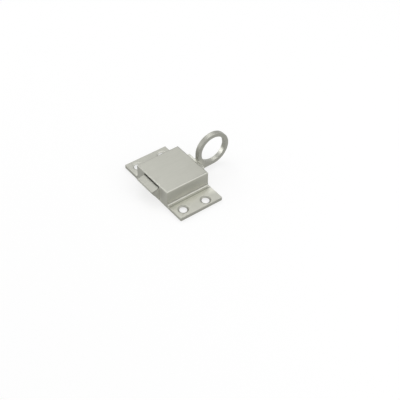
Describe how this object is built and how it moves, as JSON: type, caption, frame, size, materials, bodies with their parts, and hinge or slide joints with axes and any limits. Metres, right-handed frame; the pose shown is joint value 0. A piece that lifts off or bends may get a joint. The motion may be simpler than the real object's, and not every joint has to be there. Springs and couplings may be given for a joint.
{
  "type": "transom catch",
  "caption": "Surface-mounted spring catch for a transom sash: a flanged box case with countersunk screw holes, and a bevelled sliding bolt that carries a finger ring.",
  "frame": {"origin": "centre of the case's back, on the face that lies against the sash", "axes": "+Z away from the sash, X along the plate from one screw flange to the other, the bolt's nose points to -Y and its ring is pulled to +Y"},
  "size_m": [0.0572, 0.0604, 0.0243],
  "materials": {
    "satin_nickel": "satin nickel plate on cast brass",
    "bolt_nickel": "satin nickel plate on cast brass",
    "spring_steel": "drawn spring wire",
    "sheet_steel": "zinc-plated cold-rolled sheet",
    "screw_steel": "zinc plated"
  },
  "bodies": {
    "case_body": {"case": "satin_nickel", "back_plate": "sheet_steel", "bolt_spring": "spring_steel", "plate_screw_1": "screw_steel", "plate_screw_2": "screw_steel", "plate_screw_3": "screw_steel", "plate_screw_4": "screw_steel"},
    "bolt_body": {"latch_bolt": "bolt_nickel"}
  },
  "joints": [
    {"name": "bolt_slide", "type": "slide", "parent": "case_body", "child": "bolt_body", "axis": [0, 1, 0], "range_m": [0, 0.005], "stiffness_N_per_m": 1580, "springref_m": -0.0055, "deforming": ["bolt_spring"]}
  ]
}
